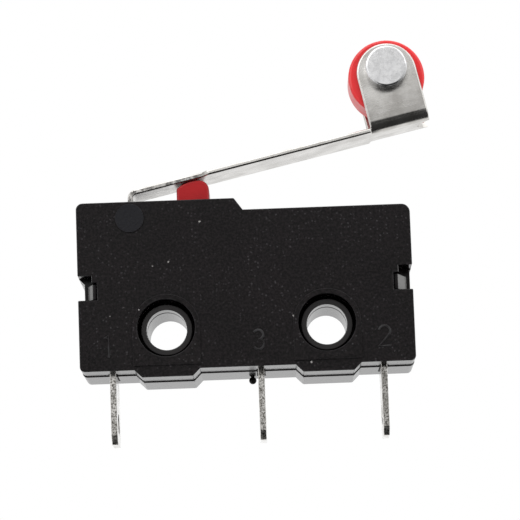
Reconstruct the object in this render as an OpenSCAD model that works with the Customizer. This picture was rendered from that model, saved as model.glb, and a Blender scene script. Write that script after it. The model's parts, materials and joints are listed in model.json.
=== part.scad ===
// Subminiature snap-action switch with a hinged roller lever, in millimetres.
// The origin is midway between the two mounting holes, on the rear face of the case.
// +X runs along the row of holes towards the roller, +Y points out of the rear face and +Z points up.

/* [Case] */
// Depth of the case from the rear face to the pads on the front
case_d = 6.4; // [6.2:0.1:7.2]
// Depth of the cover, measured back from the pads
cover_d = 2.4; // [2.1:0.1:2.7]
// Height of the top above the row of holes
case_top = 7.62; // [7.2:0.01:8.4]
// Distance of the underside below the row of holes
case_bottom = 2.45; // [2.2:0.01:2.8]
// Length of the higher part of the top, from the left end
raised_l = 9.39; // [8.6:0.01:10.2]
// Drop of the sloping step in the top
step_drop = 0.71; // [0.4:0.01:0.8]
// Length of the slope of the step
step_run = 0.51; // [0.3:0.01:0.8]
// Thickness of the two end walls
end_wall = 0.95; // [0.8:0.05:1.1]
// Thickness of the bottom wall
floor_wall = 0.85; // [0.7:0.05:1]
// Thickness of the top wall
top_wall = 0.95; // [0.8:0.05:1.1]
// Thickness of the front wall
front_wall = 0.85; // [0.7:0.05:1]
// Thickness of the rear wall
rear_wall = 0.9; // [0.7:0.05:1.1]
// Corner radius at the top left
top_left_r = 0.4; // [0.2:0.05:0.7]
// Corner radius at the top right
top_right_r = 0.5; // [0.2:0.05:0.7]
// Corner radius at the two bottom corners
bottom_r = 0.3; // [0.1:0.05:0.6]
// Distance of the underside of the base below the underside of the cover
seam_step = 0.06; // [0.02:0.01:0.1]

/* [Mounting holes] */
// Distance between the two mounting holes
hole_pitch = 9.5; // [9.2:0.1:9.8]
// Diameter of the mounting holes
hole_d = 2.4; // [2:0.05:2.6]
// Wall of the tube around each hole
tube_wall = 0.33; // [0.28:0.01:0.4]
// Gap between the tube and the cover
tube_gap = 0.17; // [0.1:0.01:0.22]
// Distance of the tube end behind the pads
tube_recess = 1.1; // [0.6:0.05:1.2]
// Width of the pad around each hole
pad_w = 4; // [3.8:0.05:4.2]
// Height of the pads above the front face
pad_h = 0.08; // [0.05:0.01:0.12]
// Distance of the pads above the bottom edge of the case
pad_margin = 0.24; // [0.16:0.02:0.4]
// Width of the foot under each hole
foot_w = 3; // [2.6:0.1:3.2]
// Height of the feet
foot_h = 0.44; // [0.2:0.02:0.5]

/* [Snap hooks] */
// Height of the middle of the hook windows above the row of holes
hook_z = 2.52; // [2.3:0.02:3]
// Height of the hook windows
hook_window_h = 1.45; // [1.3:0.05:1.8]
// Depth of the groove down the left end of the case
hook_groove = 0.33; // [0.2:0.01:0.4]
// Depth of the groove down the right end of the case
hook_groove_right = 0.09; // [0.06:0.01:0.3]
// Distance of the roots of the barbs from the ends of the case
hook_inset = 0.88; // [0.84:0.01:0.92]
// Width of the catch that stands out beyond each barb
catch_w = 0.2; // [0.15:0.01:0.25]
// Thickness of the sprung arm of each hook
hook_arm = 0.2; // [0.15:0.01:0.25]
// Length of the ramp of each barb for each millimetre of its reach
hook_ramp = 2.6; // [2.4:0.1:2.8]
// Clearance around each hook
hook_gap = 0.05; // [0.03:0.01:0.08]
// Distance of the hook tips behind the pads
hook_recess = 0.35; // [0.2:0.05:0.6]
// Distance of the hooks below the top of their windows
hook_drop = 0.46; // [0.3:0.02:0.6]

/* [Hinge] */
// Distance of the hinge from the left end of the case
pivot_inset = 3.17; // [2.9:0.01:3.5]
// Distance of the hinge below the top
pivot_drop = 1; // [0.9:0.01:1.05]
// Diameter of the hinge pin
pin_d = 1; // [0.9:0.02:1.04]
// Running clearance of the lever on the pin, per side
pin_gap = 0.03; // [0.02:0.01:0.05]
// Depth of the two pin seats
pin_seat = 0.5; // [0.35:0.05:0.55]
// Clearance of the pin in its seats, per side
pin_fit = 0.01; // [0.01:0.005:0.02]
// Clearance at each end of the pin
pin_end_gap = 0.05; // [0.03:0.01:0.08]
// Clearance of the lever eye in its pocket
pocket_gap = 0.07; // [0.05:0.01:0.1]
// Room in the pocket for the tail to swing
swing_gap = 0.3; // [0.25:0.01:0.4]
// Wall around the pocket
pocket_wall = 0.35; // [0.3:0.05:0.5]
// Diameter of the round pad in front of the hinge
pivot_pad_d = 1.7; // [1.4:0.05:1.8]

/* [Lever] */
// Thickness of the sheet
lever_t = 0.3; // [0.25:0.01:0.32]
// Width of the lever
lever_w = 3.5; // [3.3:0.05:3.8]
// Width of the tail of the lever, at the hinge
tail_w = 2.9; // [2.6:0.05:3.2]
// Distance of the shoulder between tail and lever from the hinge
tail_l = 4.95; // [4.5:0.05:6]
// Slope of the lever at rest, in degrees
lever_slope = 12.55; // [11:0.05:13.5]
// Distance of the underside of the lever from the hinge
lever_offset = 1.61; // [1.5:0.01:1.7]
// Distance of the tip of the lever from the hinge
lever_reach = 18.95; // [17.5:0.05:20]
// Bend radius of the tail, to the middle of the sheet
tail_bend = 0.4; // [0.3:0.02:0.5]

/* [Roller] */
// Diameter of the roller
roller_d = 4.6; // [4.2:0.05:4.8]
// Side clearance of the roller between the ears, per side
roller_side_gap = 0.2; // [0.1:0.05:0.3]
// Width of each ear
ear_w = 3.6; // [3.2:0.05:3.7]
// Height of the middle of the ears above the underside of the lever
ear_rise = 3.34; // [2.9:0.01:3.5]
// Outer radius of the folds under the ears
fold_r = 0.68; // [0.5:0.02:0.72]
// Diameter of the rivet shank
rivet_d = 1.4; // [1.3:0.05:1.6]
// Height of the rivet axis above the middle of the ears
rivet_rise = 0.2; // [0:0.02:0.24]
// Drop of the loose roller below the rivet axis
roller_play = 0.38; // [0.02:0.02:0.4]
// Diameter of the rivet head
rivet_head_d = 2.5; // [2.2:0.05:2.6]
// Height of the rivet head
rivet_head_h = 1; // [0.5:0.05:1.2]
// Diameter of the peened end of the rivet
rivet_tail_d = 2.1; // [1.9:0.05:2.3]
// Height of the peened end of the rivet
rivet_tail_h = 0.4; // [0.25:0.05:0.6]
// Clearance left between the rivet and the top of the loose roller bore
roller_gap = 0.03; // [0.02:0.01:0.05]

/* [Plunger] */
// Distance of the plunger from the left end of the case
plunger_inset = 6.93; // [6.6:0.05:7.2]
// Width of the plunger
plunger_w = 1.95; // [1.8:0.05:2.2]
// Depth of the plunger from front to rear
plunger_d = 2.6; // [2.4:0.05:2.8]
// Radius of the domed top
dome_r = 1.9; // [1.6:0.05:2.4]
// Offset of the crown of the dome towards the roller
dome_shift = 0.3; // [0.1:0.05:0.4]
// Radius of the shoulder that faces the roller
shoulder_r = 0.6; // [0.3:0.05:0.65]
// Clearance of the plunger in the case, per side
plunger_gap = 0.06; // [0.03:0.01:0.1]
// Reach of the collar beyond the plunger, per side
collar_reach = 0.3; // [0.2:0.02:0.35]
// Thickness of the collar
collar_h = 0.5; // [0.4:0.05:0.7]
// Gap between the plunger and the pieces it pushes
touch_gap = 0.02; // [0.01:0.01:0.04]

/* [Terminals] */
// Pitch from the common to the normally open terminal
common_pitch = 8.8; // [8.4:0.1:9.8]
// Pitch from the normally open to the normally closed terminal
closed_pitch = 7.3; // [7:0.1:8]
// Distance of the two outer terminals from the ends of the case
term_inset = 1.85; // [1.7:0.05:2.2]
// Thickness of the terminals
term_t = 0.38; // [0.32:0.01:0.4]
// Width of the terminals
term_w = 3.2; // [2.8:0.1:3.3]
// Reach of the terminals below the row of holes
term_reach = 6.64; // [6:0.02:8]
// Diameter of the solder holes
solder_d = 1.4; // [1.2:0.05:1.6]
// Distance of the solder holes from the tips
solder_edge = 1.38; // [1.2:0.05:1.6]
// Chamfer of the tips
tip_chamfer = 0.5; // [0.3:0.05:0.7]
// Reach of the shoulders that hold each terminal, per side
term_shoulder = 0.3; // [0.2:0.02:0.36]
// Height of the shoulders
term_shoulder_h = 1.2; // [0.8:0.1:1.5]
// Bend radius of the terminals, to the middle of the strip
bend_r = 0.5; // [0.4:0.05:0.6]
// Clearance of the terminals in their slots, per side
slot_gap = 0.03; // [0.02:0.01:0.06]
// Diameter of the moulding pip beside the middle terminal
pip_d = 0.45; // [0.35:0.05:0.55]
// Reach of the moulding pip below the underside
pip_reach = 0.5; // [0.45:0.05:0.8]
// Distance of the moulding pip from the rear face
pip_inset = 1; // [0.8:0.1:1.4]

/* [Contacts] */
// Height of the blade above the row of holes
blade_z = 4.1; // [4.05:0.01:4.2]
// Thickness of the blade
blade_t = 0.14; // [0.12:0.01:0.16]
// Width of the blade
blade_w = 3.6; // [3.4:0.05:3.7]
// Width of each of the two side rails of the blade
rail_w = 0.75; // [0.65:0.05:0.8]
// Width of the curved tongue
tongue_w = 1.1; // [0.9:0.05:1.2]
// Distance of the contacts from the normally closed terminal
contact_inset = 1.85; // [1.6:0.05:2.2]
// Diameter of the contacts
contact_d = 1.7; // [1.4:0.05:1.8]
// Height of each contact head
contact_h = 0.5; // [0.45:0.01:0.52]
// Diameter of the contact shanks
shank_d = 0.8; // [0.6:0.05:1]
// Travel of the moving contact
contact_gap = 0.5; // [0.4:0.01:0.5]
// Gap left between contacts that touch
contact_rest = 0.02; // [0.01:0.01:0.03]
// Height of the seats of the blade above the blade
seat_h = 0.7; // [0.5:0.05:0.8]
// Depth of the seats of the blade and of the tongue
seat_d = 0.17; // [0.12:0.01:0.2]
// Clearance of the blade in its seats
seat_gap = 0.03; // [0.02:0.01:0.05]
// Distance of the tongue post from the common terminal
post_reach = 3.4; // [3:0.1:3.8]
// Distance of the top of the post below the blade
post_drop = 0.55; // [0.45:0.05:0.7]
// Bend radius of the post, to the middle of the strip
post_bend = 0.3; // [0.26:0.02:0.4]
// Gap between the mounting tube and the shelf above it
shelf_gap = 0.25; // [0.15:0.05:0.4]
// Distance of the root of the tongue from the contact
tongue_back = 2.6; // [2:0.1:3.2]
// Distance of the cross bar of the blade from its seats
bar_reach = 0.4; // [0.3:0.05:0.6]
// Width of the cross bar of the blade
bar_w = 0.5; // [0.4:0.05:0.7]
// Border of metal around the contacts
contact_edge = 0.15; // [0.1:0.01:0.2]
// Chamfer of the contact heads
contact_c = 0.15; // [0.1:0.01:0.2]

/* [Hidden] */
$fn = 64;
eps = 0.01;
case_l = common_pitch + closed_pitch + 2 * term_inset;
left = -case_l / 2;
right = case_l / 2;
top_low = case_top - step_drop;
step_x = left + raised_l;
under = -case_bottom;
foot_z = under - foot_h;
mid_y = -case_d / 2;
seam_y = -case_d + cover_d;
face_y = -case_d + pad_h;
front_in = face_y + front_wall;
rear_in = -rear_wall;
hole_x = hole_pitch / 2;
tube_d = hole_d + 2 * tube_wall;
collar_ring_d = tube_d + 2 * tube_gap;
tube_y = -case_d + tube_recess;
floor_in = under + floor_wall;
ceiling = case_top - top_wall;
ceiling_low = top_low - top_wall;

window_lo = hook_z - hook_window_h / 2;
window_hi = hook_z + hook_window_h / 2;
hook_lo = window_lo + hook_gap;
hook_hi = window_hi - hook_drop;
hook_root = right - hook_inset;
hook_tip_y = -case_d + hook_recess;

pivot_x = left + pivot_inset;
pivot_z = case_top - pivot_drop;
eye_in = pin_d / 2 + pin_gap;
eye_out = eye_in + lever_t;
pocket_lo = pivot_x - eye_out - pocket_gap;
pocket_hi = pivot_x + eye_out + swing_gap;
pocket_floor = pivot_z - eye_out - pocket_gap;
pocket_y0 = mid_y - tail_w / 2 - pocket_gap;
pocket_y1 = mid_y + tail_w / 2 + pocket_gap;
pin_y0 = pocket_y0 - pin_seat;
pin_y1 = pocket_y1 + pin_seat;

lever_mid = lever_offset + lever_t / 2;
leg_rise = lever_mid / cos(lever_slope);
leg_dir = [sin(lever_slope), cos(lever_slope)];
ear_s0 = lever_reach - ear_w;
ear_s = lever_reach - ear_w / 2;
ear_n = lever_offset + ear_rise;
rivet_n = ear_n + rivet_rise;
roller_s = ear_s - roller_play * sin(lever_slope / 2);
roller_n = rivet_n - roller_play * cos(lever_slope / 2);
bore_d = rivet_d + 2 * (roller_play + roller_gap);
roller_w = lever_w - 2 * lever_t - 2 * roller_side_gap;

plunger_x = left + plunger_inset;
dome_x = plunger_x + dome_shift;
dome_rel = dome_x - pivot_x;
dome_z = pivot_z + (lever_offset - dome_r - touch_gap + dome_rel * sin(lever_slope)) / cos(lever_slope);
crown_z = dome_z + dome_r;
plunger_foot = blade_z + blade_t / 2 + touch_gap;
collar_top = ceiling - plunger_gap / 2;

common_x = left + term_inset;
open_x = common_x + common_pitch;
closed_x = right - term_inset;
tip_z = -term_reach;
solder_z = tip_z + solder_edge;
strip_z = floor_in + term_shoulder_h / 2;

contact_x = closed_x - contact_inset;
closed_z = blade_z + blade_t / 2 + contact_h + contact_rest + contact_h + term_t / 2;
open_z = blade_z - blade_t / 2 - contact_h - contact_gap - contact_rest - contact_h - term_t / 2;
seat_x = common_x + term_t / 2;
blade_x0 = seat_x - seat_d + seat_gap;
blade_x1 = contact_x + contact_d / 2 + contact_edge;
post_x = common_x + post_reach;
shelf_z = tube_d / 2 + shelf_gap + term_t / 2;
post_top = blade_z - post_drop;
tongue_root = contact_x - contact_d / 2 - tongue_back;
post_seat_z = post_top - post_drop / 2;

function unit(v) = v / norm(v);
function corner_cut(a, p, b, r) =
    let (u = unit(a - p), v = unit(b - p), t = r / tan(acos(max(-1, min(1, u * v))) / 2))
    r == 0 ? [p] : [p + u * t, p + v * t];
function corner_mid(a, p, b, r) =
    let (u = unit(a - p), v = unit(b - p)) p + unit(u + v) * r / sin(acos(max(-1, min(1, u * v))) / 2);

// Polygon whose corners are rounded by true arcs; a radius of 0 keeps a corner sharp
module rounded(points, radii) {
    n = len(points);
    polygon([for (i = [0 : n - 1])
        for (q = corner_cut(points[(i + n - 1) % n], points[i], points[(i + 1) % n], radii[i])) q]);
    for (i = [0 : n - 1])
        if (radii[i] > 0)
            translate(corner_mid(points[(i + n - 1) % n], points[i], points[(i + 1) % n], radii[i]))
                circle(radii[i]);
}

// Flat shape in X and Z made into a slab between two depths
module slab(y0, y1) {
    translate([0, y1, 0])
        rotate([90, 0, 0])
            linear_extrude(y1 - y0)
                children();
}

// Box between two corners
module block(a, b) {
    translate(a)
        cube(b - a);
}

// Round bar along Y between two depths, about a point in X and Z
module bar(x, z, d, y0, y1) {
    translate([x, y1, z])
        rotate([90, 0, 0])
            cylinder(h = y1 - y0, d = d);
}

// Bent strip along three points, t thick, with a bend of radius r to the middle of the strip
module bent_strip(a, p, b, t, r) {
    ends = corner_cut(a, p, b, r);
    mid = corner_mid(a, p, b, r);
    na = unit(mid - ends[0]) * t / 2;
    nb = unit(mid - ends[1]) * t / 2;
    difference() {
        polygon([a + na, ends[0] + na, mid, ends[1] + nb, b + nb, b - nb,
            mid + (p - mid) * (r + t / 2) / r, a - na]);
        translate(mid)
            circle(r - t / 2);
        difference() {
            polygon([mid, mid + (ends[0] - mid) * 3, mid + (p - mid) * 3, mid + (ends[1] - mid) * 3]);
            translate(mid)
                circle(r + t / 2);
        }
    }
}

// Outline of the case seen from the front, with its underside lowered by a drop
module case_outline(drop = 0) {
    low = under - drop;
    foot = foot_z - drop;
    rounded(
        [[left, low],
            [-hole_x - foot_w / 2 - foot_h, low], [-hole_x - foot_w / 2, foot],
            [-hole_x + foot_w / 2, foot], [-hole_x + foot_w / 2 + foot_h, low],
            [hole_x - foot_w / 2 - foot_h, low], [hole_x - foot_w / 2, foot],
            [hole_x + foot_w / 2, foot], [hole_x + foot_w / 2 + foot_h, low],
            [right, low], [right, top_low], [step_x + step_run, top_low],
            [step_x, case_top], [left, case_top]],
        [bottom_r, 0, 0, 0, 0, 0, 0, 0, 0, bottom_r, top_right_r, 0, 0, top_left_r]);
}

// Hollow of the case, which leaves the block around the hinge solid
module hollow_outline() {
    polygon([[left + end_wall, floor_in], [right - end_wall, floor_in],
        [right - end_wall, ceiling_low], [step_x, ceiling_low], [step_x, ceiling],
        [pocket_hi + pocket_wall, ceiling], [pocket_hi + pocket_wall, pocket_floor - pocket_wall],
        [left + end_wall, pocket_floor - pocket_wall]]);
}

// Space for the eye and tail of the lever, open at the top
module hinge_pocket() {
    block([pocket_lo, pocket_y0, pocket_floor], [pocket_hi, pocket_y1, case_top + 1]);
    bar(pivot_x, pivot_z, pin_d + 2 * pin_fit, pin_y0, pin_y1);
}

// Opening in the top for the plunger
module plunger_hole() {
    block([plunger_x - plunger_w / 2 - plunger_gap, mid_y - plunger_d / 2 - plunger_gap, ceiling - 1],
        [plunger_x + plunger_w / 2 + plunger_gap, mid_y + plunger_d / 2 + plunger_gap, case_top + 1]);
}

// Slots in the bottom wall for the three terminals
module terminal_slots() {
    for (x = [common_x, open_x, closed_x])
        block([x - term_t / 2 - slot_gap, mid_y - term_w / 2 - slot_gap, under - 1],
            [x + term_t / 2 + slot_gap, mid_y + term_w / 2 + slot_gap, floor_in + 0.1]);
}

// Outermost place of the barb at an end with a groove of that depth
function crest(groove) = right - groove - catch_w;

// Depth at which the barb ends and the catch begins
function barb_back(groove) = hook_tip_y + (crest(groove) - hook_root) * hook_ramp;

// Hook at the right end: an arm with an outward barb
module hook(groove) {
    translate([0, 0, hook_lo])
        linear_extrude(hook_hi - hook_lo)
            polygon([[hook_root - hook_arm, seam_y + 1], [hook_root - hook_arm, hook_tip_y],
                [hook_root, hook_tip_y], [crest(groove), barb_back(groove)],
                [hook_root, barb_back(groove)], [hook_root, seam_y + 1]]);
}

// Groove down the right end between two depths, with a sloping top
module end_groove(groove, y0, y1) {
    slab(y0, y1)
        polygon([[right - groove, window_lo], [right + 1, window_lo], [right + 1, window_hi + 1],
            [right - groove, window_hi - groove]]);
}

// Window for the hook at the right end in front of its catch, and the slot of its arm
module hook_window(groove) {
    back = barb_back(groove) + hook_gap;
    inner = hook_root - hook_arm - hook_gap;
    block([inner, -case_d - 1, window_lo], [right + 1, back, hook_hi + hook_gap]);
    block([hook_root + hook_gap, -case_d - 1, window_lo], [right + 1, back, window_hi]);
    block([inner, -case_d - 1, window_lo], [hook_root + hook_gap, seam_y + 1, hook_hi + hook_gap]);
    end_groove(groove, -case_d - 1, seam_y + 1);
}

// Rear half of the case with the tubes of the mounting holes and the snap hooks
module base() {
    color([0.1, 0.1, 0.1])
        difference() {
            union() {
                difference() {
                    slab(seam_y, 0)
                        case_outline(seam_step);
                    slab(seam_y - 1, rear_in)
                        hollow_outline();
                    end_groove(hook_groove_right, seam_y - 1, 1);
                    mirror([1, 0, 0])
                        end_groove(hook_groove, seam_y - 1, 1);
                }
                for (x = [-hole_x, hole_x])
                    bar(x, 0, tube_d, tube_y, rear_in + 0.1);
                hook(hook_groove_right);
                mirror([1, 0, 0])
                    hook(hook_groove);
                pip();
            }
            for (x = [-hole_x, hole_x])
                bar(x, 0, hole_d, -case_d - 1, 1);
            hinge_pocket();
            plunger_hole();
            terminal_slots();
        }
}

// Moulding pip on the underside, beside the middle terminal
module pip() {
    x = open_x - term_t / 2 - slot_gap - pip_d / 2 - 0.1;
    translate([x, -pip_inset, under - pip_reach + pip_d / 2])
        sphere(d = pip_d);
    translate([x, -pip_inset, under - pip_reach + pip_d / 2])
        cylinder(h = pip_reach, d = 0.2);
}

// Front half of the case with the pads around the holes and in front of the hinge
module cover() {
    color([0.12, 0.12, 0.12])
        difference() {
            union() {
                difference() {
                    slab(face_y, seam_y)
                        case_outline();
                    slab(front_in, seam_y + 1)
                        hollow_outline();
                }
                slab(-case_d, face_y)
                    for (x = [-hole_x, hole_x]) {
                        translate([x, 0])
                            circle(d = pad_w);
                        translate([x - pad_w / 2, under + pad_margin])
                            square([pad_w, case_bottom - pad_margin]);
                    }
                bar(pivot_x, pivot_z, pivot_pad_d, -case_d, face_y);
                for (x = [-hole_x, hole_x])
                    bar(x, 0, collar_ring_d + 0.9, face_y, tube_y + 0.5);
            }
            for (x = [-hole_x, hole_x])
                bar(x, 0, collar_ring_d, -case_d - 1, 0);
            hook_window(hook_groove_right);
            mirror([1, 0, 0])
                hook_window(hook_groove);
            hinge_pocket();
            plunger_hole();
            terminal_slots();
        }
}

// Steel pin of the lever, in blind seats of both case halves
module hinge_pin() {
    color([0.7, 0.7, 0.72])
        bar(pivot_x, pivot_z, pin_d, pin_y0 + pin_end_gap, pin_y1 - pin_end_gap);
}

// Moves children from the frame of the lever to its place, tilted at rest
module on_lever() {
    translate([pivot_x, 0, pivot_z])
        rotate([0, -lever_slope, 0])
            children();
}

// Side shape of the tail: the rolled eye, the leg and the first run of the lever
module tail_shape() {
    bent_strip(leg_dir * (eye_in + lever_t / 2), leg_dir * leg_rise, [tail_l, lever_mid],
        lever_t, tail_bend);
    difference() {
        circle(eye_out);
        circle(eye_in);
        rotate(90 - lever_slope - 40)
            translate([0, -0.05])
                square([eye_out + 1, 0.1]);
    }
}

// Ear with its round end, seen from the side
module ear_shape() {
    difference() {
        union() {
            translate([ear_s, ear_n])
                circle(d = ear_w);
            translate([ear_s0, lever_offset + fold_r])
                square([ear_w, ear_rise - fold_r]);
        }
        translate([ear_s, rivet_n])
            circle(d = rivet_d + 0.02);
    }
}

// Cross-section of the fold under the ears, in Y and height
module fold_shape() {
    h = fold_r + eps;
    difference() {
        union() {
            translate([-lever_w / 2, fold_r])
                square([lever_w, eps]);
            translate([-lever_w / 2 + fold_r, 0])
                square([lever_w - 2 * fold_r, h]);
            for (s = [-1, 1])
                translate([s * (lever_w / 2 - fold_r), fold_r])
                    circle(fold_r);
        }
        translate([-lever_w / 2 + fold_r, lever_t])
            square([lever_w - 2 * fold_r, 2]);
        translate([-lever_w / 2 + lever_t, fold_r])
            square([lever_w - 2 * lever_t, 2]);
        for (s = [-1, 1])
            translate([s * (lever_w / 2 - fold_r), fold_r])
                circle(fold_r - lever_t);
        translate([-lever_w, fold_r + eps])
            square([2 * lever_w, 2]);
    }
}

// One-piece sheet lever with a rolled eye, a narrow tail and two ears for the roller
module lever() {
    color([0.75, 0.74, 0.72])
        on_lever() {
            slab(mid_y - tail_w / 2, mid_y + tail_w / 2)
                tail_shape();
            difference() {
                block([tail_l - 0.2, mid_y - lever_w / 2, lever_offset],
                    [ear_s0 + eps, mid_y + lever_w / 2, lever_offset + lever_t]);
                for (s = [-1, 1])
                    translate([tail_l - 0.2, mid_y + s * lever_w / 2, lever_offset - 1])
                        rotate([0, 0, 45])
                            cube([0.6, 0.6, 4], center = true);
            }
            difference() {
                translate([ear_s0, mid_y, lever_offset])
                    rotate([90, 0, 90])
                        linear_extrude(ear_w)
                            fold_shape();
                translate([lever_reach + 0.45, mid_y, lever_offset - 1])
                    cylinder(h = 2, r = 1.15);
            }
            for (y = [mid_y - lever_w / 2, mid_y + lever_w / 2 - lever_t])
                slab(y, y + lever_t)
                    ear_shape();
        }
}

// Roller with chamfered edges and a loose bore
module roller() {
    c = 0.12;
    color([0.88, 0.17, 0.18])
        on_lever()
            translate([roller_s, mid_y, roller_n])
                rotate([90, 0, 0])
                    rotate_extrude()
                        polygon([[bore_d / 2, -roller_w / 2], [roller_d / 2 - c, -roller_w / 2],
                            [roller_d / 2, -roller_w / 2 + c], [roller_d / 2, roller_w / 2 - c],
                            [roller_d / 2 - c, roller_w / 2], [bore_d / 2, roller_w / 2]]);
}

// Rivet through both ears, with a flat head in front and a peened end behind
module roller_rivet() {
    y0 = lever_w / 2;
    c = 0.12;
    color([0.8, 0.8, 0.81])
        on_lever()
            translate([ear_s, mid_y, rivet_n])
                rotate([90, 0, 0])
                    rotate_extrude()
                        polygon([[0, -y0 - rivet_tail_h], [rivet_tail_d / 2 - 0.25, -y0 - rivet_tail_h],
                            [rivet_tail_d / 2, -y0 - 0.1], [rivet_tail_d / 2, -y0], [rivet_d / 2, -y0],
                            [rivet_d / 2, y0], [rivet_head_d / 2, y0],
                            [rivet_head_d / 2, y0 + rivet_head_h - c],
                            [rivet_head_d / 2 - c, y0 + rivet_head_h], [0, y0 + rivet_head_h]]);
}

// Plunger with a domed top that the lever presses and a collar that keeps it in the case
module plunger() {
    x0 = plunger_x - plunger_w / 2;
    x1 = plunger_x + plunger_w / 2;
    color([0.67, 0.15, 0.16]) {
        slab(mid_y - plunger_d / 2, mid_y + plunger_d / 2) {
            translate([x0, plunger_foot])
                square([plunger_w, crown_z - shoulder_r - plunger_foot]);
            intersection() {
                translate([dome_x, dome_z])
                    circle(dome_r);
                rounded([[x0, dome_z - 0.2], [x1, dome_z - 0.2], [x1, crown_z], [x0, crown_z]],
                    [0, 0, shoulder_r, 0]);
            }
        }
        block([x0 - collar_reach, mid_y - plunger_d / 2 - collar_reach, collar_top - collar_h],
            [x1 + collar_reach, mid_y + plunger_d / 2 + collar_reach, collar_top]);
    }
}

// Flat shape in Y and Z of a terminal up to a height, with its solder hole, cut tip and shoulders
module lug_shape(height) {
    w = term_w / 2;
    difference() {
        union() {
            polygon([[-w + tip_chamfer, tip_z], [w - tip_chamfer, tip_z], [w, tip_z + tip_chamfer],
                [w, height], [-w, height], [-w, tip_z + tip_chamfer]]);
            translate([-w - term_shoulder, floor_in])
                square([term_w + 2 * term_shoulder, term_shoulder_h]);
        }
        translate([0, solder_z])
            circle(d = solder_d);
    }
}

// Terminal strip standing at x, up to a height
module lug(x, height) {
    translate([x - term_t / 2, mid_y, 0])
        rotate([90, 0, 90])
            linear_extrude(term_t)
                lug_shape(height);
}

// Common terminal: two legs with seats for the blade, and a shelf with a post for the tongue
module common_terminal() {
    leg_w = (term_w - tongue_w) / 2 - contact_edge;
    leg_top = blade_z + seat_h;
    color([0.72, 0.71, 0.68])
        difference() {
            union() {
                lug(common_x, floor_in + term_shoulder_h);
                for (s = [-1, 1])
                    block([common_x - term_t / 2, mid_y + s * (term_w - leg_w) / 2 - leg_w / 2, strip_z],
                        [common_x + term_t / 2, mid_y + s * (term_w - leg_w) / 2 + leg_w / 2, leg_top]);
                slab(mid_y - tongue_w / 2, mid_y + tongue_w / 2)
                    bent_strip([common_x, strip_z], [common_x, shelf_z], [post_x - post_bend, shelf_z],
                        term_t, bend_r);
                slab(mid_y - tongue_w / 2, mid_y + tongue_w / 2)
                    bent_strip([post_x - 2 * post_bend, shelf_z], [post_x, shelf_z], [post_x, post_top],
                        term_t, post_bend);
            }
            block([seat_x - seat_d, mid_y - term_w, blade_z - blade_t / 2 - seat_gap],
                [seat_x + term_t, mid_y + term_w, blade_z + blade_t / 2 + seat_gap]);
            block([post_x + term_t / 2 - seat_d, mid_y - term_w, post_seat_z - blade_t],
                [post_x + term_t, mid_y + term_w, post_seat_z + blade_t]);
        }
}

// Normally open terminal: bent over towards the contacts below the blade
module normally_open_terminal() {
    color([0.72, 0.71, 0.68])
        difference() {
            union() {
                lug(open_x, floor_in + term_shoulder_h);
                slab(mid_y - term_w / 2, mid_y + term_w / 2)
                    bent_strip([open_x, strip_z], [open_x, open_z],
                        [contact_x + contact_d / 2 + contact_edge, open_z], term_t, bend_r);
            }
            translate([contact_x, mid_y, open_z - 1])
                cylinder(h = 2, d = shank_d + 0.02);
        }
}

// Normally closed terminal: bent over towards the contacts above the blade
module normally_closed_terminal() {
    color([0.72, 0.71, 0.68])
        difference() {
            union() {
                lug(closed_x, floor_in + term_shoulder_h);
                slab(mid_y - term_w / 2, mid_y + term_w / 2)
                    bent_strip([closed_x, strip_z], [closed_x, closed_z],
                        [contact_x - contact_d / 2 - contact_edge, closed_z], term_t, bend_r);
            }
            translate([contact_x, mid_y, closed_z - 1])
                cylinder(h = 2, d = shank_d + 0.02);
        }
}

// Sprung leaf: two rails from the seats to the contact, and a curved tongue to the post
module snap_blade() {
    z0 = blade_z - blade_t / 2;
    z1 = blade_z + blade_t / 2;
    tongue_tip = [post_x + term_t / 2 - seat_d + 2 * seat_gap, post_seat_z];
    chord = [tongue_root, blade_z] - tongue_tip;
    sag = norm(chord) * 0.12;
    bow_r = (chord * chord / 4 + sag * sag) / (2 * sag);
    chord_mid = tongue_tip + chord / 2;
    bow_mid = chord_mid + [-chord[1], chord[0]] / norm(chord) * (bow_r - sag);
    color([0.75, 0.5, 0.3])
        union() {
            difference() {
                block([blade_x0, mid_y - blade_w / 2, z0], [blade_x1, mid_y + blade_w / 2, z1]);
                block([blade_x0 - 1, mid_y - blade_w / 2 + rail_w, z0 - 1],
                    [tongue_root - blade_t / 2, mid_y + blade_w / 2 - rail_w, z1 + 1]);
                translate([contact_x, mid_y, z0 - 1])
                    cylinder(h = 3, d = shank_d + 0.02);
            }
            block([seat_x + bar_reach, mid_y - blade_w / 2, z0],
                [seat_x + bar_reach + bar_w, mid_y + blade_w / 2, z1]);
            slab(mid_y - tongue_w / 2, mid_y + tongue_w / 2)
                intersection() {
                    translate(bow_mid)
                        difference() {
                            circle(bow_r + blade_t / 2);
                            circle(bow_r - blade_t / 2);
                        }
                    polygon([bow_mid, bow_mid + (tongue_tip - bow_mid) * 1.5,
                        bow_mid + (chord_mid - bow_mid) / norm(chord_mid - bow_mid) * bow_r * 1.5,
                        bow_mid + ([tongue_root, blade_z] - bow_mid) * 1.5]);
                }
        }
}

// Round contact head standing on z = 0, with a rounded rim
module contact_head() {
    rotate_extrude()
        polygon([[0, 0], [contact_d / 2, 0], [contact_d / 2, contact_h - contact_c],
            [contact_d / 2 - contact_c, contact_h], [0, contact_h]]);
}

// Rivet on the free end of the blade, with a head on each side
module moving_contact() {
    color([0.85, 0.85, 0.86])
        translate([contact_x, mid_y, blade_z]) {
            translate([0, 0, blade_t / 2])
                contact_head();
            mirror([0, 0, 1])
                translate([0, 0, blade_t / 2])
                    contact_head();
            cylinder(h = blade_t + 0.1, d = shank_d, center = true);
        }
}

// Rivet on the normally open terminal, facing up
module normally_open_contact() {
    color([0.85, 0.85, 0.86])
        translate([contact_x, mid_y, open_z + term_t / 2]) {
            contact_head();
            translate([0, 0, -term_t])
                cylinder(h = term_t + 0.1, d = shank_d);
        }
}

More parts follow.
